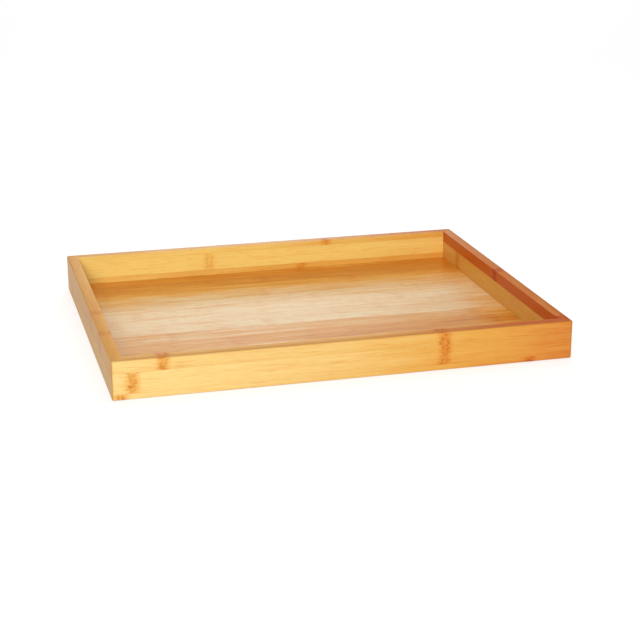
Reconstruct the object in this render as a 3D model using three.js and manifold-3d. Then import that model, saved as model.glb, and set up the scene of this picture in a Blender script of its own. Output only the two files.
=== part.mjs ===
// A bamboo appetizer tray: four mitred rails, each glued up from strips, round a base of edge-glued strips.
// Millimetres. X runs along the length, Y from front to back, Z up. The origin is on the surface that the
// tray stands on, under its middle.
import * as THREE from 'three';
import { mergeVertices } from 'three/addons/utils/BufferGeometryUtils.js';
import Module from 'manifold-3d';

const wasm = await Module();
wasm.setup();

// The tray's outside
const trayLength = 320;
const trayWidth = 255;
const railHeight = 27;
const railThickness = 8;
const cornerRadius = 1.6; // upright outer corners, seen from above
const edgeRadius = 0.8; // sanded round along the rails' long edges

// The strips that the rails and the base are glued up from
const lowSeam = { front: 4, back: 9.2 }; // lower glue line of the long rails, above their underside
const highSeam = { front: 8.6, right: 8.3, back: 4.2, left: 14 }; // upper or only glue line, below the rim
const baseStripWidth = 17.5;
const glueLine = 0.15; // film of glue between any two pieces

// The base, and the groove that holds its tongue
const baseFoot = 2; // underside of the base above the rails' underside
const baseThickness = 3;
const tongueThickness = 2.4;
const grooveDepth = 4;
const swellRoom = 0.5; // left at the bottom of the groove for the base to swell

// The loose spline across each mitre, hidden inside the corner
const splineWidth = 5.6;
const splineThickness = 2.2;
const splineInset = 0.7; // towards the inside of the tray from the middle of the mitre, along X and along Y
const splineLand = 1.5; // above the groove
const splineCover = 3; // below the rim

// How the shapes are cut and drawn
const overcut = 1; // cutters run this far past what they cut
const curveSegments = 5;

const quarterTurn = Math.PI / 2;
const mitreAngle = Math.PI / 4;

const grooveFoot = baseFoot - glueLine;
const grooveHead = baseFoot + tongueThickness + glueLine;
const splineFoot = grooveHead + splineLand;
const splineHead = railHeight - splineCover;
const splineFromOutside = railThickness / 2 + splineInset;

// Bamboo's colours, which change from strip to strip, and its finishes
const railTones = [0xedbd6c, 0xf2c97f, 0xe8b462];
const baseTones = [0xd9a46a, 0xdfae77, 0xd39c62];
const splineTone = 0xc9975a;
const railRoughness = 0.45;
const baseRoughness = 0.35;
const bareRoughness = 0.6;

function bamboo(color, roughness) {
  return new THREE.MeshStandardMaterial({ color, roughness, metalness: 0 });
}

function solid(geometry) {
  geometry.deleteAttribute('normal');
  geometry.deleteAttribute('uv');
  const merged = mergeVertices(geometry);
  return new wasm.Manifold(new wasm.Mesh({
    numProp: 3,
    vertProperties: new Float32Array(merged.attributes.position.array),
    triVerts: new Uint32Array(merged.index.array),
  }));
}

function pieceOf(name, shape, material) {
  const { vertProperties, triVerts } = shape.getMesh();
  const geometry = new THREE.BufferGeometry();
  geometry.setAttribute('position', new THREE.BufferAttribute(vertProperties, 3));
  geometry.setIndex(new THREE.BufferAttribute(triVerts, 1));
  geometry.computeVertexNormals();
  const mesh = new THREE.Mesh(geometry, material);
  mesh.name = name;
  return mesh;
}

function block(low, high) {
  const size = high.map((value, axis) => value - low[axis]);
  const centre = high.map((value, axis) => (value + low[axis]) / 2);
  return solid(new THREE.BoxGeometry(...size).translate(...centre));
}

function roundedRectangle(left, foot, right, head, radius) {
  const outline = new THREE.Shape();
  outline.moveTo(left + radius, foot);
  outline.lineTo(right - radius, foot);
  outline.absarc(right - radius, foot + radius, radius, -quarterTurn, 0);
  outline.lineTo(right, head - radius);
  outline.absarc(right - radius, head - radius, radius, 0, quarterTurn);
  outline.lineTo(left + radius, head);
  outline.absarc(left + radius, head - radius, radius, quarterTurn, 2 * quarterTurn);
  outline.lineTo(left, foot + radius);
  outline.absarc(left + radius, foot + radius, radius, 2 * quarterTurn, 3 * quarterTurn);
  return outline;
}

// An outline seen from above, standing through the full height of the rails and a little past it
function upright(outline) {
  const depth = railHeight + 2 * overcut;
  const geometry = new THREE.ExtrudeGeometry(outline, { depth, bevelEnabled: false, curveSegments });
  return solid(geometry.translate(0, 0, -overcut));
}

// A section seen from the end, with its width along Y and its height along Z, running along X
function moulding(section, length) {
  const geometry = new THREE.ExtrudeGeometry(section, { depth: length, bevelEnabled: false, curveSegments });
  geometry.translate(0, 0, -length / 2);
  const alongY = new THREE.Vector3(0, 1, 0);
  const alongZ = new THREE.Vector3(0, 0, 1);
  const alongX = new THREE.Vector3(1, 0, 0);
  return solid(geometry.applyMatrix4(new THREE.Matrix4().makeBasis(alongY, alongZ, alongX)));
}

// What the two mitres leave of a rail, seen from above: each one gives up half of its glue line
function mitredPlan(rail) {
  const outside = -rail.reach - overcut;
  const inside = -rail.reach + railThickness + overcut;
  const endAtOutside = rail.length / 2 + overcut - glueLine * Math.SQRT1_2;
  const endAtInside = endAtOutside - (inside - outside);
  const outline = new THREE.Shape();
  outline.moveTo(-endAtOutside, outside);
  outline.lineTo(endAtOutside, outside);
  outline.lineTo(endAtInside, inside);
  outline.lineTo(-endAtInside, inside);
  return upright(outline);
}

// The slot for a spline at one end of a rail, the spline's own size and a film of glue all round
function splineSlot(rail, end) {
  const slot = new THREE.BoxGeometry(
    splineWidth + 2 * glueLine,
    splineThickness + 2 * glueLine,
    splineHead - splineFoot + 2 * glueLine,
  );
  slot.rotateZ(end * mitreAngle);
  slot.translate(
    end * (rail.length / 2 - splineFromOutside),
    -rail.reach + splineFromOutside,
    (splineHead + splineFoot) / 2,
  );
  return solid(slot);
}

// A whole rail, drawn as the front one lies: its outer face towards -Y
function railBlank(rail) {
  const outside = -rail.reach;
  const inside = outside + railThickness;
  const halfLength = rail.length / 2;
  const section = roundedRectangle(outside, 0, inside, railHeight, edgeRadius);
  const trayOutline = roundedRectangle(-halfLength, -rail.reach, halfLength, rail.reach, cornerRadius);
  const groove = block(
    [-halfLength - overcut, inside - grooveDepth, grooveFoot],
    [halfLength + overcut, inside + overcut, grooveHead],
  );
  return moulding(section, rail.length + 2 * overcut)
    .intersect(mitredPlan(rail))
    .intersect(upright(trayOutline))
    .subtract(groove)
    .subtract(splineSlot(rail, -1))
    .subtract(splineSlot(rail, 1));
}

// A rail's strips, numbered from the bottom up, turned to their side of the tray
function railStrips(rail) {
  const blank = railBlank(rail);
  const halfLength = rail.length / 2 + overcut;
  const feet = [-overcut, ...rail.seams.map((height) => height + glueLine / 2)];
  const heads = [...rail.seams.map((height) => height - glueLine / 2), railHeight + overcut];
  const group = new THREE.Group();
  group.rotation.z = rail.turns * quarterTurn;
  feet.forEach((foot, index) => {
    const level = block(
      [-halfLength, -rail.reach - overcut, foot],
      [halfLength, -rail.reach + railThickness + overcut, heads[index]],
    );
    const name = `${rail.name}_strip_${index + 1}`;
    const finish = bamboo(railTones[index % railTones.length], railRoughness);
    group.add(pieceOf(name, blank.intersect(level), finish));
  });
  return group;
}

// The base's strips, numbered from front to back, with the tongue left standing all round
function baseStrips() {
  const insideLength = trayLength / 2 - railThickness;
  const insideWidth = trayWidth / 2 - railThickness;
  const tongueReach = grooveDepth - swellRoom;
  const halfWidth = insideWidth + tongueReach;
  const halfLength = insideLength + tongueReach;
  const tongue = block(
    [-halfLength, -halfWidth, baseFoot],
    [halfLength, halfWidth, baseFoot + tongueThickness],
  );
  const board = block(
    [-insideLength + glueLine, -insideWidth + glueLine, baseFoot],
    [insideLength - glueLine, insideWidth - glueLine, baseFoot + baseThickness],
  );
  const panel = tongue.add(board);
  const count = Math.round(2 * halfWidth / baseStripWidth);
  const pitch = 2 * halfWidth / count;
  const group = new THREE.Group();
  for (let index = 0; index < count; index += 1) {
    const front = -halfWidth + index * pitch;
    const lane = block(
      [-halfLength - overcut, front + glueLine / 2, baseFoot - overcut],
      [halfLength + overcut, front + pitch - glueLine / 2, baseFoot + baseThickness + overcut],
    );
    const name = `base_strip_${String(index + 1).padStart(2, '0')}`;
    const finish = bamboo(baseTones[index % baseTones.length], baseRoughness);
    group.add(pieceOf(name, panel.intersect(lane), finish));
  }
  return group;
}

function cornerSpline(name, endX, endY) {
  const geometry = new THREE.BoxGeometry(splineWidth, splineThickness, splineHead - splineFoot);
  const mesh = new THREE.Mesh(geometry, bamboo(splineTone, bareRoughness));
  mesh.name = name;
  mesh.rotation.z = -endX * endY * mitreAngle;
  mesh.position.set(
    endX * (trayLength / 2 - splineFromOutside),
    endY * (trayWidth / 2 - splineFromOutside),
    (splineHead + splineFoot) / 2,
  );
  return mesh;
}

const longRail = { length: trayLength, reach: trayWidth / 2 };
const shortRail = { length: trayWidth, reach: trayLength / 2 };
const frontSeams = [lowSeam.front, railHeight - highSeam.front];
const rightSeams = [railHeight - highSeam.right];
const backSeams = [lowSeam.back, railHeight - highSeam.back];
const leftSeams = [railHeight - highSeam.left];

const tray = new THREE.Group();
tray.add(
  railStrips({ name: 'front_rail', ...longRail, turns: 0, seams: frontSeams }),
  railStrips({ name: 'right_rail', ...shortRail, turns: 1, seams: rightSeams }),
  railStrips({ name: 'back_rail', ...longRail, turns: 2, seams: backSeams }),
  railStrips({ name: 'left_rail', ...shortRail, turns: 3, seams: leftSeams }),
  baseStrips(),
  cornerSpline('front_left_corner_spline', -1, -1),
  cornerSpline('front_right_corner_spline', 1, -1),
  cornerSpline('back_right_corner_spline', 1, 1),
  cornerSpline('back_left_corner_spline', -1, 1),
);

export default tray;
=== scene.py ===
# %% [markdown]
# # A bamboo appetizer tray
# The tray is a low rim of four mitred rails round a flat base, and every rail and the base are glued up from
# strips of bamboo. It could be modelled as one box with a hollow in it, but then the glue lines would have to
# be painted on. Here every strip is a piece of its own, cut the way a joiner cuts it, and wears a bamboo
# material that knows where its own grain runs and where its own knuckles are.

# %% Load the frame
import math
import random

import bmesh
import bpy
from mathutils import Matrix, Vector


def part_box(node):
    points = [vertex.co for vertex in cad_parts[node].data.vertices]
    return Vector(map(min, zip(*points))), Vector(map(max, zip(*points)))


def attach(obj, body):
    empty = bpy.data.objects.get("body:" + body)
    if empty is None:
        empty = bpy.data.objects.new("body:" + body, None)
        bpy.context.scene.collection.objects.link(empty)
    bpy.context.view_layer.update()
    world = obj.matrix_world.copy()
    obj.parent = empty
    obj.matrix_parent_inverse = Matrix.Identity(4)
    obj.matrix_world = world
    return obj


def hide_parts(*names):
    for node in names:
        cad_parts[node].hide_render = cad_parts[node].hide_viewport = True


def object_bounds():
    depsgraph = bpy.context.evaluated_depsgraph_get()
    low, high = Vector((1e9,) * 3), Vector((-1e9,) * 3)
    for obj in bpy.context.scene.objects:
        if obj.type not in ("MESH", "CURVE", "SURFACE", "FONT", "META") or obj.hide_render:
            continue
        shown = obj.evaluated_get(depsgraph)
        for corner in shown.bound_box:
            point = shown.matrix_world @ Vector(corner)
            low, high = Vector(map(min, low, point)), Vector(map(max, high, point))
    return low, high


MILLIMETRE = 0.001

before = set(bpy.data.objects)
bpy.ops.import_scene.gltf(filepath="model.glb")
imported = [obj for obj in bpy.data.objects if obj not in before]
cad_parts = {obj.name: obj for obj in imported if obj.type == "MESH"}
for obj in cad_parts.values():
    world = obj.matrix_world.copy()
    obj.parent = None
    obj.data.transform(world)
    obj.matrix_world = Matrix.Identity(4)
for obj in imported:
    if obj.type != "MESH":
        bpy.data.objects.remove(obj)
cad_low, cad_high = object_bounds()
print("CAD box, mm:", [round(side / MILLIMETRE, 2) for side in cad_high - cad_low])

# %% [markdown]
# ## Reading sizes off the frame
# The frame already holds every strip at its right place, so sizes are measured on it and not typed in again.
# Two helpers are enough. One gives the levels at which a node has corners along some direction: the first and
# the last level are its two ends, and the ones between are shoulders, such as the top of a tongue. The other
# finds the nodes whose names begin alike.

# %% Measure the strips
LENGTHWAYS = Vector((1, 0, 0))
BACKWARDS = Vector((0, 1, 0))
UP = Vector((0, 0, 1))


def levels(node, direction):
    """The places along a direction, in metres, where a CAD node has corners, from the lowest up."""
    return sorted({round(corner.co.dot(direction), 6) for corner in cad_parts[node].data.vertices})


def nodes_of(start):
    """The names of the CAD nodes that begin with these words, in order."""
    return sorted(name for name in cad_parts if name.startswith(start))


front_levels = levels("front_rail_strip_3", BACKWARDS)
rail_thickness = front_levels[-1] - front_levels[0]
base_strips = nodes_of("base_strip")
base_foot, tongue_head, base_head = levels(base_strips[0], UP)
splines = [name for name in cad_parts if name.endswith("corner_spline")]
print("rail thickness, mm:", round(rail_thickness / MILLIMETRE, 2))
print("base from", base_foot, "to", base_head, "with a tongue up to", tongue_head)
print(len(base_strips), "base strips and", len(splines), "splines")

# %% [markdown]
# ## Four workshop moves
# Sawing, scoring, sinking and rounding over are all that a tray needs. A saw cut is `bisect_plane`, which
# also drops the waste, and the open cut is then closed with one face. Scoring is the same operator on some
# faces only, with nothing dropped. Sinking extrudes a face into the wood, for a groove or a slot. Rounding
# over is `bevel`, whose own defaults differ from the editor's, so each setting is given.

# %% Workshop moves
TOUCH = 1e-6
CUT_TOLERANCE = TOUCH / 10
SAME_WAY = 0.999


def block(low, high):
    """A new block of wood from its lowest to its highest corner."""
    wood = bmesh.new()
    bmesh.ops.create_cube(wood, size=1.0)
    bmesh.ops.scale(wood, vec=high - low, verts=wood.verts)
    bmesh.ops.translate(wood, vec=(low + high) / 2, verts=wood.verts)
    wood.normal_update()
    return wood


def all_of(wood):
    """Every corner, edge and face of a block."""
    return wood.verts[:] + wood.edges[:] + wood.faces[:]


def saw(wood, point, waste):
    """Cuts along a plane, drops what lies on the side that waste points to, and closes the cut."""
    cut = bmesh.ops.bisect_plane(
        wood, geom=all_of(wood), dist=CUT_TOLERANCE, plane_co=point, plane_no=waste, clear_outer=True)
    rim = [item for item in cut["geom_cut"] if isinstance(item, bmesh.types.BMEdge)]
    bmesh.ops.holes_fill(wood, edges=rim, sides=0)
    wood.normal_update()


def faces_towards(wood, direction):
    """The faces that look in a direction, the largest first."""
    facing = [face for face in wood.faces if face.normal.dot(direction) > SAME_WAY]
    return sorted(facing, key=lambda face: -face.calc_area())


def score(wood, direction, point, across):
    """Draws a knife line where a plane meets the faces that look in a direction, and takes nothing off."""
    marked = []
    for face in faces_towards(wood, direction):
        marked += [face, *face.edges, *face.verts]
    bmesh.ops.bisect_plane(
        wood, geom=list(dict.fromkeys(marked)), dist=CUT_TOLERANCE, plane_co=point, plane_no=across)
    wood.normal_update()


def sink(wood, direction, near, depth):
    """Sinks the face that looks in a direction, the nearest one to a point. A depth below 0 raises it."""
    field = min(
        faces_towards(wood, direction), key=lambda face: (face.calc_center_median() - near).length)
    floor_faces = bmesh.ops.extrude_discrete_faces(wood, faces=[field])["faces"]
    bmesh.ops.translate(wood, vec=-depth * direction, verts=floor_faces[0].verts)
    wood.normal_update()


def round_over(wood, edges, radius, segments):
    """Sands a round along some edges."""
    bmesh.ops.bevel(
        wood, geom=edges, offset=radius, offset_type="OFFSET", affect="EDGES", segments=segments,
        profile=0.5, material=-1, clamp_overlap=False)
    wood.normal_update()


print("workshop moves: block, saw, score, sink, round over")

# %% [markdown]
# ## What a strip carries
# A strip needs more than its shape. Bamboo's fibres run along it, so each mesh carries an attribute named
# grain: a point's place along, across and through the strip, in millimetres, shifted so that no two strips
# share a stretch of noise. The knuckles attribute says where along the strip the bamboo's joints are, and
# marked how strongly they show. Tone says how brown the wood is: it goes from one end over the middle to the
# other end, leans towards the neighbours at the seams, and may differ on the rim's top and on the outer side.
# A golden share picks a yellower wood for the inner side, partly its colour and partly painted light that
# brightens it, and worn says where the rim is rubbed. The materials read all of this, so a few materials do
# for all strips and no strip looks like its neighbour.

# %% Write a strip's attributes
STRIP_SHIFT = 500.0
MOST_KNUCKLES = 3
NO_KNUCKLE = -100000.0
STRIP_ATTRIBUTES = {
    "grain": "FLOAT_VECTOR", "knuckles": "FLOAT_VECTOR", "marked": "FLOAT", "golden_and_painted_light": "FLOAT",
    "tone": "FLOAT", "worn": "FLOAT"}
PLAIN_LOOK = {"golden_and_painted_light": 0.0, "top_tone": 0.0, "skin_tone": 0.0, "leans": (0.0, 0.0)}
strips_made = []


def span(mesh, axis):
    """The lowest and the highest place of a mesh along an axis."""
    places = [corner.co.dot(axis) for corner in mesh.vertices]
    return min(places), max(places)


def tone_at(look, end_share, seam_share):
    """How brown a strip is. The first share is -1 and 1 at its ends, the second is 0 and 1 at its seams."""
    near_tone, middle_tone, far_tone = look["tones"]
    near_lean, far_lean = look["leans"]
    end_tone = near_tone if end_share < 0 else far_tone
    tone_along = middle_tone + abs(end_share) * (end_tone - middle_tone)
    return tone_along + near_lean + seam_share * (far_lean - near_lean)


def paint_strip(mesh, axes, look, worn):
    """Writes the attributes that the bamboo materials read, from a strip's look."""
    along, across, through = axes
    shift = STRIP_SHIFT * (len(strips_made) + 1)
    places = [place + shift for place in look["knuckles"]]
    places += [NO_KNUCKLE] * (MOST_KNUCKLES - len(places))
    near_end, far_end = span(mesh, along)
    centre, half = (far_end + near_end) / 2, (far_end - near_end) / 2
    near_seam, far_seam = span(mesh, across)
    heart = sum(span(mesh, through)) / 2
    for name, kind in STRIP_ATTRIBUTES.items():
        mesh.attributes.new(name, kind, "POINT")
    grain, knuckles, marked, golden_and_painted_light, tone, wear = (mesh.attributes[name] for name in STRIP_ATTRIBUTES)
    for index, corner in enumerate(mesh.vertices):
        far_along, far_across, far_through = (corner.co.dot(axis) / MILLIMETRE for axis in axes)
        grain.data[index].vector = (far_along + shift, far_across + shift, far_through)
        knuckles.data[index].vector = places
        marked.data[index].value = look["marked"]
        on_skin_side = corner.co.dot(through) > heart
        golden_and_painted_light.data[index].value = 0.0 if on_skin_side else look["golden_and_painted_light"]
        side_tone = look["skin_tone"] if on_skin_side else 0.0
        if corner.co.z > cad_high.z - TOUCH:
            side_tone = look["top_tone"]
        end_share = (corner.co.dot(along) - centre) / half
        seam_share = (corner.co.dot(across) - near_seam) / (far_seam - near_seam)
        tone.data[index].value = tone_at(look, end_share, seam_share) + side_tone
        wear.data[index].value = worn(corner.co)


print("every strip will carry", ", ".join(STRIP_ATTRIBUTES))

# %% [markdown]
# ## Finishing a strip
# A cut strip is scored right round its middle, because its tone changes there and an attribute is only kept
# at corners. It is shaded smooth, apart from sharp edges, and weighted normals keep its flats flat beside the
# rounds; more faces would do that too, but they would make a heavy mesh of a plain strip. Then it rides on
# the tray's only body and stands for its CAD node.

# %% Finish a strip
SHARP_ANGLE = math.radians(35)
tray_middle = (cad_low + cad_high) / 2


def place_in_scene(name, shape):
    """Makes an object of a finished bmesh and links it to the scene."""
    mesh = bpy.data.meshes.new(name)
    shape.to_mesh(mesh)
    shape.free()
    thing = bpy.data.objects.new(name, mesh)
    bpy.context.scene.collection.objects.link(thing)
    return thing


def finish_strip(name, wood, node, axes, look, worn):
    """Turns a cut strip into a piece of the tray that stands for its CAD node."""
    bmesh.ops.bisect_plane(
        wood, geom=all_of(wood), dist=CUT_TOLERANCE, plane_co=tray_middle, plane_no=axes[0])
    for face in wood.faces:
        face.smooth = True
    piece = place_in_scene(name, wood)
    piece.data.set_sharp_from_angle(angle=SHARP_ANGLE)
    paint_strip(piece.data, axes, look, worn)
    even = piece.modifiers.new("even_shading", "WEIGHTED_NORMAL")
    even.keep_sharp = True
    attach(piece, "root")
    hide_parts(node)
    strips_made.append(piece)


print("edges sharper than", round(math.degrees(SHARP_ANGLE)), "degrees stay sharp")

# %% [markdown]
# ## The rim, as one sanded block
# On the real tray the rails are glued up first and their outer edges are sanded round afterwards, so the
# round runs on over every mitre without a step. The same order works here: a block of the tray's outside size
# gets its four upright corners rounded, then its top and bottom edges, and every rail is cut out of a copy.

# %% Sand the outside
CORNER_ROUND = 1.6 * MILLIMETRE
EDGE_ROUND = 0.8 * MILLIMETRE
CORNER_SEGMENTS = 10
EDGE_SEGMENTS = 6

rim_block = block(cad_low, cad_high)
uprights = [
    edge for edge in rim_block.edges
    if abs(edge.verts[0].co.z - edge.verts[1].co.z) > EDGE_ROUND]
round_over(rim_block, uprights, CORNER_ROUND, CORNER_SEGMENTS)
flat_rims = [
    edge for edge in rim_block.edges
    if {round(abs(face.normal.z)) for face in edge.link_faces} == {0, 1}]
round_over(rim_block, flat_rims, EDGE_ROUND, EDGE_SEGMENTS)
print("sanded block:", len(rim_block.faces), "faces")

# %% [markdown]
# ## A rail
# A rail is what is left of the block after a cut along its inner face and one mitre at each end. The groove
# for the base is sunk before the mitres, while the rail still has square ends, so it runs out cleanly through
# both of them. The slots for the splines come last, because they are sunk into the mitre faces themselves.
# Half a film of glue comes off every mitre face. A knife line along the top marks how far in the rim is worn.

# %% Cut a rail
GLUE_FILM = 0.05 * MILLIMETRE
SLOT_ROOM = 0.15 * MILLIMETRE
GROOVE_DEPTH = 4.0 * MILLIMETRE
WORN_REACH = 6.4 * MILLIMETRE
half_size = (cad_high - cad_low) / 2


def reach_of(direction):
    """How far the tray reaches from its middle in a level direction along X or Y."""
    return abs(half_size.dot(direction))


def cut_groove(rail, out, inner):
    """Sinks the groove for the base's tongue along a rail's inner face."""
    for height in (base_foot - SLOT_ROOM, tongue_head + SLOT_ROOM):
        score(rail, -out, UP * height, UP)
    middle = out * inner + UP * (base_foot + tongue_head) / 2
    sink(rail, -out, middle, GROOVE_DEPTH)


def cut_mitre(rail, out, end):
    """Saws the mitre at one end of a rail and sinks the slot for its spline. End points along the rail."""
    corner = out * reach_of(out) + end * reach_of(end)
    away = (end - out).normalized()
    sideways = (end + out).normalized()
    face_point = corner - away * GLUE_FILM / 2
    saw(rail, face_point, away)
    spline = max(splines, key=lambda node: levels(node, sideways)[-1])
    foot, *_, head = levels(spline, UP)
    near, *_, far = levels(spline, sideways)
    slot_edges = (
        (foot - SLOT_ROOM, UP), (head + SLOT_ROOM, UP),
        (near - SLOT_ROOM, sideways), (far + SLOT_ROOM, sideways))
    for plane, normal in slot_edges:
        score(rail, away, normal * plane, normal)
    middle = sideways * (near + far) / 2 + UP * (foot + head) / 2
    middle += away * (face_point.dot(away) - middle.dot(away))
    sink(rail, away, middle, face_point.dot(away) - levels(spline, away)[0] + SLOT_ROOM)


def cut_rail(out, along):
    """A whole rail whose outer face looks towards out, with its groove, mitres and slots."""
    rail = rim_block.copy()
    inner = reach_of(out) - rail_thickness
    saw(rail, out * inner, -out)
    cut_groove(rail, out, inner)
    inner_edges = [
        edge for edge in rail.edges
        if all(abs(corner.co.dot(out) - inner) < TOUCH for corner in edge.verts)
        and edge.verts[0].co.z == edge.verts[1].co.z
        and edge.verts[0].co.z in (cad_low.z, cad_high.z)]
    round_over(rail, inner_edges, EDGE_ROUND, EDGE_SEGMENTS)
    score(rail, UP, out * (reach_of(out) - WORN_REACH), out)
    for end in (along, -along):
        cut_mitre(rail, out, end)
    return rail


RAILS = {
    "front": (-BACKWARDS, LENGTHWAYS),
    "right": (LENGTHWAYS, BACKWARDS),
    "back": (BACKWARDS, LENGTHWAYS),
    "left": (-LENGTHWAYS, BACKWARDS),
}
rails = {side: cut_rail(out, along) for side, (out, along) in RAILS.items()}
print("rails:", {side: len(rail.faces) for side, rail in rails.items()})

# %% [markdown]
# ## Looks of the rail strips
# Each rail is two or three strips lying on top of each other, and no two come from the same cane. Knuckle
# places are in millimetres from the tray's middle, along the rail. On the front rail, on the back rail and
# for the dark knuckle of the right rail they follow the object. A strip is never one colour from end to end,
# so it gets three tones, for its two ends and its middle; 0 is pale and 1 is brown. Colours could be picked
# at random, but a rail is read at a glance and each strip is worth choosing. The right rail's upper strip is
# a deep red-brown, partly its own colour and partly painted shade for its shaded inner side. A rail as a
# whole
# says how its top and its outer side differ, and the wood of the back rail is golden on its inner side:
# partly a yellower wood and partly painted light, brighter as if more light fell on that wall.

# %% Looks of the rail strips
STRIP_LOOKS = {
    "front": (
        {"knuckles": (-154, 129), "marked": 1.0, "tones": (0.05, 0.33, 0.92)},
        {"knuckles": (-147, 66.6), "marked": 0.9, "tones": (-0.05, 0.27, 0.88)},
        {"knuckles": (-126, 66), "marked": 0.9, "tones": (0.12, 0.30, 0.90)},
    ),
    "right": (
        {"knuckles": (84,), "marked": 0.6, "tones": (0.48, 0.62, 0.52)},
        # Upper strip: deep red-brown, partly its own colour and partly painted shade for the shaded inner
        # side.
        {"knuckles": (2, -118), "marked": 1.5, "tones": (1.16, 1.16, 1.05)},
    ),
    "back": (
        {"knuckles": (29,), "marked": 0.6, "tones": (0.20, 0.46, 0.66)},
        {"knuckles": (-48,), "marked": 0.4, "tones": (0.00, 0.04, 0.25)},
        {"knuckles": (50,), "marked": 0.7, "tones": (0.06, 0.18, 0.52)},
    ),
    "left": (
        {"knuckles": (96,), "marked": 0.5, "tones": (0.46, 0.50, 0.58)},
        {"knuckles": (-24, -70), "marked": 0.5, "tones": (0.60, 0.62, 0.60)},
    ),
}
RAIL_LOOKS = {
    "front": {"top_tone": 0.30},
    "right": {"top_tone": -0.22},
    "back": {"top_tone": 0.46, "skin_tone": 0.22, "golden_and_painted_light": 1.0},
    "left": {"top_tone": 0.02},
}
print("strips per rail:", {side: len(looks) for side, looks in STRIP_LOOKS.items()})

# %% [markdown]
# ## Splitting a rail into its strips
# A copy of the rail is sawn off below and above each strip. The seams sit half way between the strips of the
# frame, and half a film of glue comes off on both sides. Hands rub the rim most along its outer edge and up
# the outer corners, and from there the wear fades inwards over the top; the front rail is worn the most.

# %% Rail strips
RIM_WEAR = {"front": 1.0, "right": 0.5, "back": 0.4, "left": 0.5}


def worn_rim(side):
    """A function that says how worn a place on one side's rail is, from 0 to 1."""
    def worn(place):
        from_ends = half_size.x - abs(place.x)
        from_sides = half_size.y - abs(place.y)
        from_outside = min(from_ends, from_sides)
        from_top = cad_high.z - place.z
        rim = 0.0
        if from_top < TOUCH:
            rim = 1 - (from_outside - EDGE_ROUND) / (WORN_REACH - EDGE_ROUND)
        elif from_outside < EDGE_ROUND:
            rim = 1 - from_top / EDGE_ROUND
        corner = 0.0
        if max(from_ends, from_sides) < CORNER_ROUND + TOUCH:
            corner = 1 - abs(from_ends - from_sides) / CORNER_ROUND
        return max(RIM_WEAR[side] * min(rim, 1.0), corner, 0.0)
    return worn


for side, (out, along) in RAILS.items():
    nodes = nodes_of(f"{side}_rail_strip")
    feet = [levels(node, UP)[0] for node in nodes]
    heads = [levels(node, UP)[-1] for node in nodes]
    for index, node in enumerate(nodes):
        strip = rails[side].copy()
        if index > 0:
            seam_below = (heads[index - 1] + feet[index]) / 2
            saw(strip, UP * (seam_below + GLUE_FILM / 2), -UP)
        if index + 1 < len(nodes):
            seam_above = (heads[index] + feet[index + 1]) / 2
            saw(strip, UP * (seam_above - GLUE_FILM / 2), UP)
        look = {**PLAIN_LOOK, **RAIL_LOOKS[side], **STRIP_LOOKS[side][index]}
        finish_strip(
            f"{side}_rail_bamboo_{index + 1}", strip, node, (along, UP, out), look,
            worn_rim(side))
print("rail strips:", len(strips_made))

# %% [markdown]
# ## The base's strips
# The base is a panel of strips glued edge to edge, thinned to a tongue all round. Each one starts as a plate
# as thick as the tongue. Knife lines mark the shoulders on its top, and the field between them is raised to
# the full thickness. The long edges on top are eased by a hair, as sanding leaves them. One plate with lines
# drawn on it would be quicker, but these seams catch the light as real ones do.

# %% Cut a base strip
EASED = 0.06 * MILLIMETRE
EASED_SEGMENTS = 2


def cut_base_strip(index):
    """One strip of the base, with its tongue, reaching to half a film of glue from its neighbours."""
    node = base_strips[index]
    low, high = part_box(node)
    sides = levels(node, BACKWARDS)
    front, back = sides[0], sides[-1]
    if index > 0:
        end_before = levels(base_strips[index - 1], BACKWARDS)[-1]
        front = (end_before + front + GLUE_FILM) / 2
    if index + 1 < len(base_strips):
        start_after = levels(base_strips[index + 1], BACKWARDS)[0]
        back = (start_after + back - GLUE_FILM) / 2
    strip = block(Vector((low.x, front, base_foot)), Vector((high.x, back, tongue_head)))
    for shoulder in levels(node, LENGTHWAYS)[1:-1]:
        score(strip, UP, LENGTHWAYS * shoulder, LENGTHWAYS)
    for shoulder in sides[1:-1]:
        score(strip, UP, BACKWARDS * shoulder, BACKWARDS)
    field_middle = Vector((0, (front + back) / 2, tongue_head))
    sink(strip, UP, field_middle, tongue_head - base_head)
    long_edges = [
        edge for edge in strip.edges
        if all(abs(corner.co.z - base_head) < TOUCH for corner in edge.verts)
        and abs(edge.verts[0].co.x - edge.verts[1].co.x) > EASED]
    round_over(strip, long_edges, EASED, EASED_SEGMENTS)
    return strip


print("base strips are", round((base_head - base_foot) / MILLIMETRE, 2), "mm thick")

# %% [markdown]
# ## Looks of the base's strips
# The tones are listed from the front strip to the back one: a paler middle, browner strips in front
# of it and the brownest at the back. Pale strips get browner towards their ends, all of them a little more at
# the right, and the front ones are paler at the left. Towards the back the tones of neighbours run into each
# other at the seams, and further forward the seams stay clearer. Only small things are drawn at random, from
# a seeded generator: where the faint knuckles are, and a drift of the tone from end to end.
# The paler middle is partly painted sheen: with the lacquer it stands in for a bright reflection across the
# base. The brownest strips at the back are partly painted shade at the foot of the back wall. Pale strips get
# browner towards their ends, which fades the painted sheen there. The paler left ends of the front strips are
# painted light that lifts the shade which the left and front rails cast on the base.

# %% Base strips
# Painted light: the pale middle strips are partly painted sheen, the brownest at the back partly painted
# shade.
BASE_TONES_WITH_PAINTED_SHEEN_AND_SHADE = (0.59, 0.56, 0.58, 0.60, 0.68, 0.38, 0.04, 0.02, 0.03, 0.14, 0.26, 0.60, 1.22, 0.84)
TONE_DRIFT = 0.06
USUAL_TONE = 0.45
END_PULL = 0.20
RIGHT_TONE = 0.12
FRONT_STRIPS = 5
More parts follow.
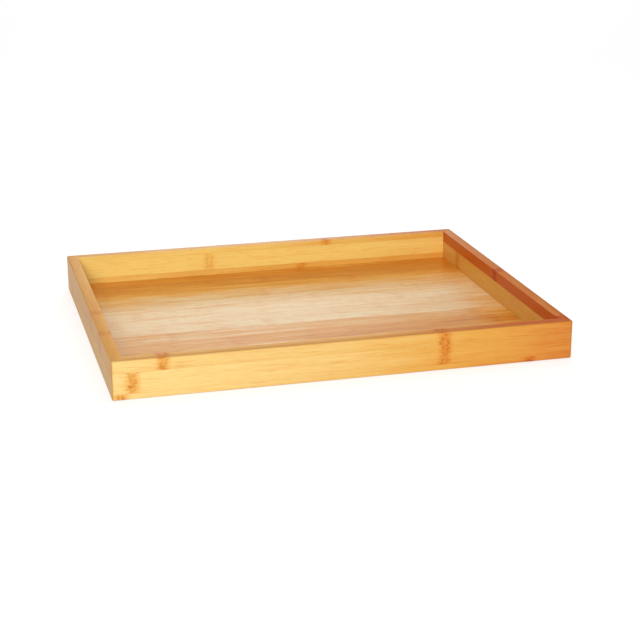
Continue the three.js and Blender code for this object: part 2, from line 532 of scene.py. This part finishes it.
# Painted light: the front strips are paler at their left ends, lifting the shade of the left and front rails.
FRONT_LEFT_PAINTED_LIGHT = -0.20
SEAM_BLEND = 0.40
CLEAR_SEAM_BLEND = 0.15
FIRST_BLENDED = 8
FIRST_KNUCKLE = (-150, 60)
KNUCKLE_SPACING = (190, 230)
BASE_MARKED = 0.25
dice = random.Random(7)


def base_look(index):
    """The look of one base strip. It draws from the dice three times, always in the same order."""
    first_knuckle = dice.uniform(*FIRST_KNUCKLE)
    drift = TONE_DRIFT * dice.uniform(-1, 1)
    second_knuckle = first_knuckle + dice.uniform(*KNUCKLE_SPACING)
    tone = BASE_TONES_WITH_PAINTED_SHEEN_AND_SHADE[index]
    end_tone = tone + END_PULL * max(USUAL_TONE - tone, 0.0)
    # Painted light at the left ends of the front strips.
    left_tone_and_painted_light = end_tone + (FRONT_LEFT_PAINTED_LIGHT if index < FRONT_STRIPS else 0.0)
    tone_before = BASE_TONES_WITH_PAINTED_SHEEN_AND_SHADE[max(index - 1, 0)]
    tone_after = BASE_TONES_WITH_PAINTED_SHEEN_AND_SHADE[min(index + 1, len(BASE_TONES_WITH_PAINTED_SHEEN_AND_SHADE) - 1)]
    blend = SEAM_BLEND if index >= FIRST_BLENDED else CLEAR_SEAM_BLEND
    return {
        **PLAIN_LOOK,
        "knuckles": (first_knuckle, second_knuckle),
        "marked": BASE_MARKED,
        "tones": (left_tone_and_painted_light - drift, tone, end_tone + RIGHT_TONE + drift),
        "leans": (blend * (tone_before - tone), blend * (tone_after - tone)),
    }


def never_worn(place):
    """The base lies too low to be rubbed."""
    return 0.0


for index, node in enumerate(base_strips):
    finish_strip(
        f"base_bamboo_{index + 1:02d}", cut_base_strip(index), node,
        (LENGTHWAYS, BACKWARDS, UP), base_look(index), never_worn)
print("strips in all:", len(strips_made))

# %% [markdown]
# ## Small helpers for material nodes
# A node material is a chain of small sums. Written out in full every node takes four or five lines, so a few
# helpers add a node and fill its inputs in one go: a socket is linked and anything else is set as a value.

# %% Node helpers
def add_node(tree, kind, inputs, **settings):
    """Adds a node with its settings and inputs."""
    node = tree.nodes.new(kind)
    for setting, value in settings.items():
        setattr(node, setting, value)
    for name, value in inputs.items():
        if isinstance(value, bpy.types.NodeSocket):
            tree.links.new(value, node.inputs[name])
        else:
            node.inputs[name].default_value = value
    return node


def sums(tree, operation, *values, clamp=False):
    """One sum on numbers."""
    node = add_node(
        tree, "ShaderNodeMath", dict(enumerate(values)), operation=operation, use_clamp=clamp)
    return node.outputs[0]


def rise(tree, value, start, end):
    """Goes smoothly from 0 at start to 1 at end."""
    node = add_node(
        tree, "ShaderNodeMapRange", {"Value": value, "From Min": start, "From Max": end},
        interpolation_type="SMOOTHSTEP")
    return node.outputs["Result"]


def fibres(tree, place, along, across, detail, roughness):
    """Noise on the grain, which changes so many times a millimetre along and across the fibres."""
    pace = (along, across, across)
    drawn = add_node(tree, "ShaderNodeVectorMath", {0: place, 1: pace}, operation="MULTIPLY")
    noise = add_node(
        tree, "ShaderNodeTexNoise",
        {"Vector": drawn.outputs["Vector"], "Scale": 1.0, "Detail": detail, "Roughness": roughness})
    return noise.outputs["Fac"]


def noisy(tree, value, share):
    """Noise round 0 instead of round a half, times a share."""
    return sums(tree, "MULTIPLY_ADD", value, share, -share / 2)


def stain(tree, amount, under, over, blend="MIX"):
    """Lays one colour over another. The Mix node repeats its sockets' names, so they go by number."""
    node = add_node(
        tree, "ShaderNodeMix", {0: amount, 6: under, 7: over}, data_type="RGBA", blend_type=blend)
    return node.outputs[2]


def attribute(tree, name, output):
    """A value that the strip's mesh carries."""
    return add_node(tree, "ShaderNodeAttribute", {}, attribute_name=name).outputs[output]


print("node helpers: sums, rise, fibres, noisy, stain, attribute")

# %% [markdown]
# ## Knuckles
# Every 20 cm or so a knuckle crosses a strip of bamboo. It is no clean ring: the fibres tangle there, so it
# shows as a soft amber patch with broken brown lines and tangled brown fibres in its core, and a smear that
# bleeds along the grain. A wave texture would give neat stripes, so it all comes from the distance to the
# nearest place in the knuckles attribute, made ragged with noise. Lengths are in millimetres.

# %% Knuckle marks
# For each noise: changes a millimetre along and across the grain, detail, roughness
KNUCKLE_NOISE = {
    "wander": (0.02, 0.12, 1.0, 0.5),
    "swell": (0.03, 0.20, 0.5, 0.5),
    "breaks": (0.22, 0.36, 2.0, 0.5),
    "ragged": (0.10, 0.80, 3.0, 0.5),
    "tangle": (0.36, 0.56, 2.0, 0.6),
    "smear": (0.015, 0.60, 2.0, 0.5),
}
# From nothing to full: distances from the knuckle, or from its ring
BLUSH_FADE = (7.5, 0.8)
CORE_FADE = (5.5, 1.5)
SMEAR_FADE = (24.0, 2.0)
RING_FADE = (2.1, 0.2)
# From nothing to full: heights of the noise
RING_PIECES = (0.34, 0.62)
TANGLE_FIBRES = (0.48, 0.63)
SMEAR_FIBRES = (0.48, 0.74)
WANDER = 5.0
RAGGED_EDGE = 10.0
RAGGED_CORE_SHARE = 0.5
RING_HALF = 1.6
RING_SWELL = 6.0
LEAST_RING_HALF = 0.2
RING_SHARE = 0.55
TANGLE_SHARE = 0.65
SMEAR_SHARE = 0.6


def knuckle_marks(tree, grain):
    """How strongly the nearest knuckle tints a point amber, and how strongly it makes it brown."""
    noise = {key: fibres(tree, grain, *row) for key, row in KNUCKLE_NOISE.items()}
    joints = add_node(tree, "ShaderNodeSeparateXYZ", {0: attribute(tree, "knuckles", "Vector")})
    along = add_node(tree, "ShaderNodeSeparateXYZ", {0: grain}).outputs[0]
    place = sums(tree, "ADD", along, noisy(tree, noise["wander"], WANDER))
    gaps = [sums(tree, "ABSOLUTE", sums(tree, "SUBTRACT", place, joint)) for joint in joints.outputs]
    nearest = sums(tree, "MINIMUM", sums(tree, "MINIMUM", gaps[0], gaps[1]), gaps[2])

    swell = noisy(tree, noise["swell"], RING_SWELL)
    ring_half = sums(tree, "MAXIMUM", sums(tree, "ADD", swell, RING_HALF), LEAST_RING_HALF)
    from_ring = sums(tree, "ABSOLUTE", sums(tree, "SUBTRACT", nearest, ring_half))
    pieces = rise(tree, noise["breaks"], *RING_PIECES)
    rings = sums(tree, "MULTIPLY", rise(tree, from_ring, *RING_FADE), pieces)

    ragged = noisy(tree, noise["ragged"], RAGGED_EDGE)
    core = rise(tree, sums(tree, "MULTIPLY_ADD", ragged, RAGGED_CORE_SHARE, nearest), *CORE_FADE)
    tangle = sums(tree, "MULTIPLY", rise(tree, noise["tangle"], *TANGLE_FIBRES), core)
    tangle = sums(tree, "MULTIPLY", tangle, TANGLE_SHARE)
    browned = sums(tree, "MULTIPLY_ADD", rings, RING_SHARE, tangle, clamp=True)

    blush = rise(tree, sums(tree, "ADD", nearest, ragged), *BLUSH_FADE)
    smear_fibres = rise(tree, noise["smear"], *SMEAR_FIBRES)
    smear = sums(tree, "MULTIPLY", rise(tree, nearest, *SMEAR_FADE), smear_fibres)
    blush = sums(tree, "MAXIMUM", blush, sums(tree, "MULTIPLY", smear, SMEAR_SHARE))
    return blush, browned


print("a knuckle reaches about", BLUSH_FADE[0], "mm to both sides, with smears of", SMEAR_FADE[0], "mm")

# %% [markdown]
# ## Bamboo under lacquer
# Sawn bamboo shows bundles of fibres as fine streaks that run dead straight for a hand's width, paler and
# browner bands a few millimetres wide, short brown flecks and longer amber threads. A wood texture with rings
# would be wrong for it, so all of this is noise that is drawn out along the grain attribute. Noise and tone
# together pick a colour between pale, honey and brown. The fibres also make the wood a little rough, and the
# lacquer over it has its own, smoother bump, which breaks up what it mirrors.

# %% Bamboo under lacquer
# For each noise: changes a millimetre along and across the grain, detail, roughness
GRAIN_NOISE = {
    "fine": (0.060, 3.4, 3.0, 0.7),
    "streaks": (0.022, 1.15, 4.0, 0.65),
    "bands": (0.008, 0.24, 2.0, 0.5),
    "clouds": (0.030, 0.10, 2.0, 0.5),
    "flecks": (0.10, 1.6, 1.0, 0.5),
    "threads": (0.045, 0.90, 3.0, 0.6),
}
FINE_SHARE = 0.75
CLOUD_SHARE = 0.5
# From nothing to full: shades, then heights of the noise
HONEY_SHADES = (-0.10, 0.70)
BROWN_SHADES = (0.55, 1.15)
FLECK_FIBRES = (0.56, 0.76)
THREAD_FIBRES = (0.54, 0.72)
# Gold is for the back rail's inner side: partly a yellower wood and partly painted light, brighter than pale.
GOLD_AND_PAINTED_LIGHT = (0.89, 0.65, 0.185, 1.0)
AMBER_TINT = (0.94, 0.66, 0.36, 1.0)
BROWN_TINT = (0.62, 0.38, 0.20, 1.0)
KNUCKLE_TINT = (0.72, 0.46, 0.23, 1.0)
WORN_STAIN = 0.55
STREAK_DULLING = 0.18
WORN_DULLING = 0.08
KNUCKLE_DULLING = 0.06
STREAK_RELIEF = 0.55
FINE_RELIEF = 0.45
FLECK_RELIEF = -0.35
KNUCKLE_RELIEF = -0.40
BAND_RIPPLE = 2.0
WOOD_BUMP = {"Strength": 0.35, "Distance": 0.1 * MILLIMETRE}
LACQUER_BUMP = {"Strength": 0.6, "Distance": 0.06 * MILLIMETRE}
WOOD_SPECULAR = 0.10


def bamboo(name, colours, grain, streak, band, fleck, thread, roughness, coat, coat_roughness):
    """A bamboo material.

    Colours are pale, honey, brown and burnt. Grain makes the node socket with a place along the fibres.
    Streak and band say how strongly the narrow streaks and the wide bands show, fleck and thread how dark
    the short brown flecks and the longer amber threads are, and coat how much lacquer there is.
    """
    pale, honey, brown, burnt = [(*colour, 1.0) for colour in colours]
    material = bpy.data.materials.new(name)
    material.use_nodes = True
    tree = material.node_tree
    shader = tree.nodes["Principled BSDF"]
    place = grain(tree)
    worn = attribute(tree, "worn", "Fac")
    marked = attribute(tree, "marked", "Fac")
    noise = {key: fibres(tree, place, *row) for key, row in GRAIN_NOISE.items()}
    blush, browned = [sums(tree, "MULTIPLY", mark, marked) for mark in knuckle_marks(tree, place)]

    shade = attribute(tree, "tone", "Fac")
    shares = {"fine": FINE_SHARE * streak, "streaks": streak, "bands": band, "clouds": CLOUD_SHARE * band}
    for key, share in shares.items():
        shade = sums(tree, "ADD", shade, noisy(tree, noise[key], share))
    # Partly painted light: the back rail's inner side turns a brighter gold.
    colour = stain(tree, attribute(tree, "golden_and_painted_light", "Fac"), pale, GOLD_AND_PAINTED_LIGHT)
    colour = stain(tree, rise(tree, shade, *HONEY_SHADES), colour, honey)
    colour = stain(tree, rise(tree, shade, *BROWN_SHADES), colour, brown)
    flecks = rise(tree, noise["flecks"], *FLECK_FIBRES)
    threads = rise(tree, noise["threads"], *THREAD_FIBRES)
    colour = stain(tree, sums(tree, "MULTIPLY", flecks, fleck), colour, BROWN_TINT, "MULTIPLY")
    colour = stain(tree, sums(tree, "MULTIPLY", threads, thread), colour, AMBER_TINT, "MULTIPLY")
    colour = stain(tree, blush, colour, AMBER_TINT, "MULTIPLY")
    colour = stain(tree, browned, colour, KNUCKLE_TINT, "MULTIPLY")
    colour = stain(tree, sums(tree, "MULTIPLY", worn, WORN_STAIN), colour, burnt)
    tree.links.new(colour, shader.inputs["Base Color"])

    dull = sums(tree, "ADD", noisy(tree, noise["streaks"], STREAK_DULLING), roughness)
    for mark, share in ((worn, WORN_DULLING), (browned, KNUCKLE_DULLING)):
        dull = sums(tree, "MULTIPLY_ADD", mark, share, dull)
    tree.links.new(dull, shader.inputs["Roughness"])
    relief = sums(tree, "MULTIPLY", noise["streaks"], STREAK_RELIEF)
    for mark, share in ((noise["fine"], FINE_RELIEF), (flecks, FLECK_RELIEF), (browned, KNUCKLE_RELIEF)):
        relief = sums(tree, "MULTIPLY_ADD", mark, share, relief)
    ripples = sums(tree, "MULTIPLY_ADD", noise["bands"], BAND_RIPPLE, noise["streaks"])
    for bump, height, normal in ((WOOD_BUMP, relief, "Normal"), (LACQUER_BUMP, ripples, "Coat Normal")):
        bumped = add_node(tree, "ShaderNodeBump", {**bump, "Height": height})
        tree.links.new(bumped.outputs["Normal"], shader.inputs[normal])
    shader.inputs["Specular IOR Level"].default_value = WOOD_SPECULAR
    shader.inputs["Coat Weight"].default_value = coat
    shader.inputs["Coat Roughness"].default_value = coat_roughness
    return material


print("noises in a bamboo material:", ", ".join([*GRAIN_NOISE, *KNUCKLE_NOISE]))

# %% [markdown]
# ## Three bamboos
# The rails are evenly honey-coloured under a thin satin lacquer. The base is streakier and has the thicker
# lacquer. The splines are bare offcuts that stand on end in the corners, so their grain comes from object
# coordinates, turned until the fibres run up; their shape is right as it is, so the CAD solids stay.

# %% Three bamboos
def strip_grain(tree):
    """The grain that a strip's mesh carries."""
    return attribute(tree, "grain", "Vector")


def upright_grain(tree):
    """Grain for a spline, which stands on end: object coordinates in millimetres, with Z along the fibres."""
    object_place = add_node(tree, "ShaderNodeTexCoord", {}).outputs["Object"]
    scale = (1 / MILLIMETRE,) * 3
    quarter_turn = (0.0, math.pi / 2, 0.0)
    turned = add_node(
        tree, "ShaderNodeMapping", {"Vector": object_place, "Scale": scale, "Rotation": quarter_turn})
    return turned.outputs["Vector"]


# The rails' brown is a deep red-brown, partly painted shade, dark enough for the right rail's upper strip.
RAIL_COLOURS = ((0.86, 0.62, 0.235), (0.72, 0.35, 0.055), (0.57, 0.11, 0.011), (0.38, 0.13, 0.015))
# The base's pale is whitish, partly painted sheen for the middle strips, and its brown is darkened, partly
# painted shade for the strips by the back wall.
BASE_COLOURS = ((0.80, 0.61, 0.35), (0.71, 0.31, 0.030), (0.53, 0.150, 0.006), (0.40, 0.14, 0.020))
SPLINE_COLOURS = ((0.66, 0.40, 0.17), (0.56, 0.29, 0.09), (0.36, 0.14, 0.03), (0.36, 0.14, 0.03))
rail_bamboo = bamboo(
    "rail_bamboo", RAIL_COLOURS, strip_grain, streak=0.38, band=0.30, fleck=0.22, thread=0.60,
    roughness=0.50, coat=0.38, coat_roughness=0.18)
base_bamboo = bamboo(
    "base_bamboo", BASE_COLOURS, strip_grain, streak=1.60, band=1.00, fleck=0.70, thread=1.00,
    roughness=0.45, coat=1.0, coat_roughness=0.30)
spline_bamboo = bamboo(
    "spline_bamboo", SPLINE_COLOURS, upright_grain, streak=0.60, band=0.40, fleck=0.30, thread=0.50,
    roughness=0.65, coat=0.0, coat_roughness=0.50)
for piece in strips_made:
    on_base = piece.name.startswith("base")
    piece.data.materials.append(base_bamboo if on_base else rail_bamboo)
for node in splines:
    for material_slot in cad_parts[node].material_slots:
        material_slot.material = spline_bamboo
print("materials:", rail_bamboo.name, base_bamboo.name, spline_bamboo.name)

# %% [markdown]
# ## Floor
# The tray stands on a plain white floor. A floor lit only by the lights would be grey at its far end, and a
# whiter paint would throw too much light back at the tray. So the floor glows a little by itself, and a
# little more for the camera than for the tray.

# %% Floor
FLOOR_HALF = 10.0
FLOOR_DROP = 0.2 * MILLIMETRE
FLOOR_GREY = (0.50, 0.50, 0.50, 1.0)
FLOOR_ROUGHNESS = 0.8
FLOOR_GLOW = 0.24
FLOOR_WHITENING = 0.31
WHITE = (1.0, 1.0, 1.0, 1.0)


def whiten(tree, strength, glow, whitening):
    """Sets the strength of a glow, and adds some whitening to what the camera itself sees of it."""
    seen_by_camera = add_node(tree, "ShaderNodeLightPath", {}).outputs["Is Camera Ray"]
    tree.links.new(sums(tree, "MULTIPLY_ADD", seen_by_camera, whitening, glow), strength)


ground = bmesh.new()
bmesh.ops.create_grid(ground, x_segments=2, y_segments=2, size=FLOOR_HALF)
bmesh.ops.translate(ground, vec=UP * (cad_low.z - FLOOR_DROP), verts=ground.verts)
floor = place_in_scene("floor", ground)
floor_paint = bpy.data.materials.new("floor_paint")
floor_paint.use_nodes = True
floor_shader = floor_paint.node_tree.nodes["Principled BSDF"]
floor_shader.inputs["Base Color"].default_value = FLOOR_GREY
floor_shader.inputs["Roughness"].default_value = FLOOR_ROUGHNESS
floor_shader.inputs["Emission Color"].default_value = WHITE
whiten(floor_paint.node_tree, floor_shader.inputs["Emission Strength"], FLOOR_GLOW, FLOOR_WHITENING)
floor.data.materials.append(floor_paint)
print("floor:", 2 * FLOOR_HALF, "m square")

# %% [markdown]
# ## Lights
# The main light stands in front, high and a little to the left. A weak one overhead keeps the shadows open,
# and a fill light behind the tray lights the sides that look away from the camera. The lacquer would mirror
# the two standing ones as hard white squares, so reflections don't see them. The room glows too, whiter for
# the camera, so that it and the floor run together.

# %% Lights
ROOM_GLOW = 0.35
ROOM_WHITENING = 0.37


def softbox(name, place, width, height, power, mirrored):
    """A rectangular soft light at a place, turned to look at the tray."""
    lamp = bpy.data.lights.new(name, "AREA")
    lamp.shape = "RECTANGLE"
    lamp.size = width
    lamp.size_y = height
    lamp.energy = power
    holder = bpy.data.objects.new(name, lamp)
    holder.location = place
    holder.rotation_euler = (tray_middle - Vector(place)).to_track_quat("-Z", "Y").to_euler()
    holder.visible_camera = False
    holder.visible_glossy = mirrored
    bpy.context.scene.collection.objects.link(holder)


softbox("front_light", (-1.00, -3.35, 1.75), width=1.8, height=1.4, power=113.0, mirrored=False)
softbox("overhead_light", (-0.2, 0.1, 2.0), width=2.4, height=2.0, power=13.0, mirrored=True)
softbox("back_light", (0.90, 3.20, 1.70), width=1.8, height=1.4, power=30.0, mirrored=False)

world = bpy.data.worlds.new("white_room")
bpy.context.scene.world = world
world.use_nodes = True
room = world.node_tree.nodes["Background"]
room.inputs["Color"].default_value = WHITE
whiten(world.node_tree, room.inputs["Strength"], ROOM_GLOW, ROOM_WHITENING)
print("lights:", [light.name for light in bpy.data.lights])

# %% [markdown]
# ## White card behind the tray
# The lacquered base is seen at a low angle, so it mirrors what stands behind the tray. Photographers set up
# a white card there, and so does this scene: it is brightest in one soft patch, which gives the base its pale
# sheen. An area light would do that too, but it would light the tray's back as well. This card is seen by
# reflections only.

# %% White card behind the tray
CARD_LOW = Vector((-2.0, 1.9, 0.10))
CARD_HIGH = Vector((2.6, 1.9, 1.10))
CARD_DIM = 0.20
CARD_GLOW = 3.4
GLOW_MIDDLE = (0.40, 1.9, 0.53)
GLOW_HALF = (0.64, 1.0, 0.16)
GLOW_FADE = (1.0, 0.2)
HALF_METRE = 0.5

panel = bmesh.new()
bmesh.ops.create_grid(panel, x_segments=1, y_segments=1, size=HALF_METRE)
bmesh.ops.rotate(panel, matrix=Matrix.Rotation(math.pi / 2, 3, "X"), verts=panel.verts)
bmesh.ops.scale(panel, vec=CARD_HIGH - CARD_LOW + BACKWARDS, verts=panel.verts)
bmesh.ops.translate(panel, vec=(CARD_LOW + CARD_HIGH) / 2, verts=panel.verts)
card = place_in_scene("back_card", panel)
card.visible_camera = False
card.visible_diffuse = False
card.visible_shadow = False
card_glow = bpy.data.materials.new("card_glow")
card_glow.use_nodes = True
card_tree = card_glow.node_tree
card_tree.nodes.remove(card_tree.nodes["Principled BSDF"])
card_place = add_node(card_tree, "ShaderNodeTexCoord", {}).outputs["Object"]
from_middle = add_node(
    card_tree, "ShaderNodeVectorMath", {0: card_place, 1: GLOW_MIDDLE}, operation="SUBTRACT")
in_halves = add_node(
    card_tree, "ShaderNodeVectorMath", {0: from_middle.outputs[0], 1: GLOW_HALF}, operation="DIVIDE")
distance = add_node(card_tree, "ShaderNodeVectorMath", {0: in_halves.outputs[0]}, operation="LENGTH")
brightness = rise(card_tree, distance.outputs["Value"], *GLOW_FADE)
card_strength = sums(card_tree, "MULTIPLY_ADD", brightness, CARD_GLOW - CARD_DIM, CARD_DIM)
card_light = add_node(card_tree, "ShaderNodeEmission", {"Strength": card_strength})
card_tree.links.new(card_light.outputs[0], card_tree.nodes["Material Output"].inputs["Surface"])
card.data.materials.append(card_glow)
print("card from", tuple(CARD_LOW), "to", tuple(CARD_HIGH))

# %% [markdown]
# ## Camera
# The camera stands where the object was seen from: in front and to the left, a little over a metre away,
# looking down at about 18 degrees through a longish lens. Blender's usual view transform would mute the honey
# colours, so the standard one is chosen, which keeps them as strong as they are.

# %% Camera
CAMERA_PLACE = (-0.2724, -1.0609, 0.3644)
CAMERA_DIP = math.radians(18.373)
CAMERA_TURN = math.radians(15.062)
LENS = 87.0

camera_data = bpy.data.cameras.new("camera")
camera_data.lens = LENS
camera = bpy.data.objects.new("camera", camera_data)
camera.location = CAMERA_PLACE
camera.rotation_euler = (math.pi / 2 - CAMERA_DIP, 0.0, -CAMERA_TURN)
bpy.context.scene.collection.objects.link(camera)
bpy.context.scene.camera = camera
bpy.context.scene.view_settings.view_transform = "Standard"
print("camera at", CAMERA_PLACE)
